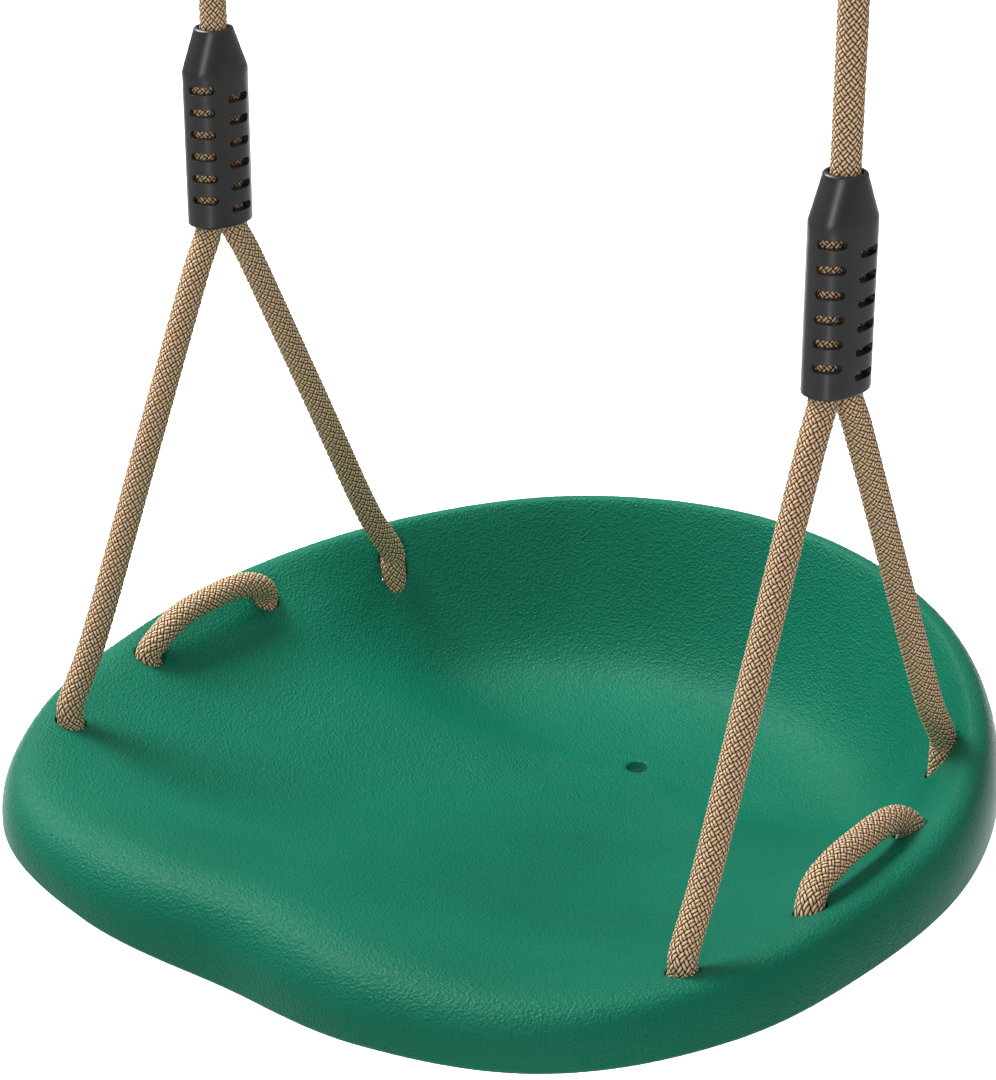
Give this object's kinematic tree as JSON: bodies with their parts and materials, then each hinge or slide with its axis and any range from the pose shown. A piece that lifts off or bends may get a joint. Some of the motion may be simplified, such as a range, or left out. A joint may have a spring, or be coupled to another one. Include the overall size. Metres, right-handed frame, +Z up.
{
  "type": "saucer nest swing",
  "caption": "Dished saucer swing seat threaded on rope bridles, each gathered in a moulded sleeve and hung from a screw-gated quick link.",
  "frame": {"origin": "midway between the two hanging points, the undersides of the quick links' upper bows", "axes": "+Z up along the ropes, -Y the front of the seat, +X from the left rope to the right rope"},
  "size_m": [0.412, 0.4047, 0.5897],
  "materials": {
    "seat_green": "moulded plastic with a fine leather-like grain, satin",
    "rope_tan": "braided synthetic rope, tan with dark gaps between the strands",
    "sleeve_black": "overmoulded plastic, semi-matte charcoal",
    "link_steel": "bright polished plating"
  },
  "bodies": {
    "links": {"quick_link_left": "link_steel", "quick_link_right": "link_steel"},
    "nut_left": {"link_nut_left": "link_steel"},
    "nut_right": {"link_nut_right": "link_steel"},
    "swing": {"thimble_left": "sleeve_black", "thimble_right": "sleeve_black", "main_rope_left": "rope_tan", "main_rope_right": "rope_tan", "eye_collar_left": "sleeve_black", "eye_collar_right": "sleeve_black"},
    "seat": {"sleeve_left": "sleeve_black", "sleeve_right": "sleeve_black", "bridle_rope_left": "rope_tan", "bridle_rope_right": "rope_tan", "seat_shell": "seat_green"}
  },
  "joints": [
    {"name": "swing_pivot", "type": "hinge", "parent": "links", "child": "swing", "pos_m": [0, 0, -0.074], "axis": [1, 0, 0], "range_deg": [-50, 50]},
    {"name": "seat_pivot", "type": "hinge", "parent": "swing", "child": "seat", "pos_m": [0, 0, -0.2322], "axis": [1, 0, 0], "range_deg": [-20, 20]},
    {"name": "nut_left_travel", "type": "slide", "parent": "links", "child": "nut_left", "axis": [0, 0, -1], "range_m": [0, 0.012]},
    {"name": "nut_right_travel", "type": "slide", "parent": "links", "child": "nut_right", "axis": [0, 0, -1], "range_m": [0, 0.012]}
  ]
}
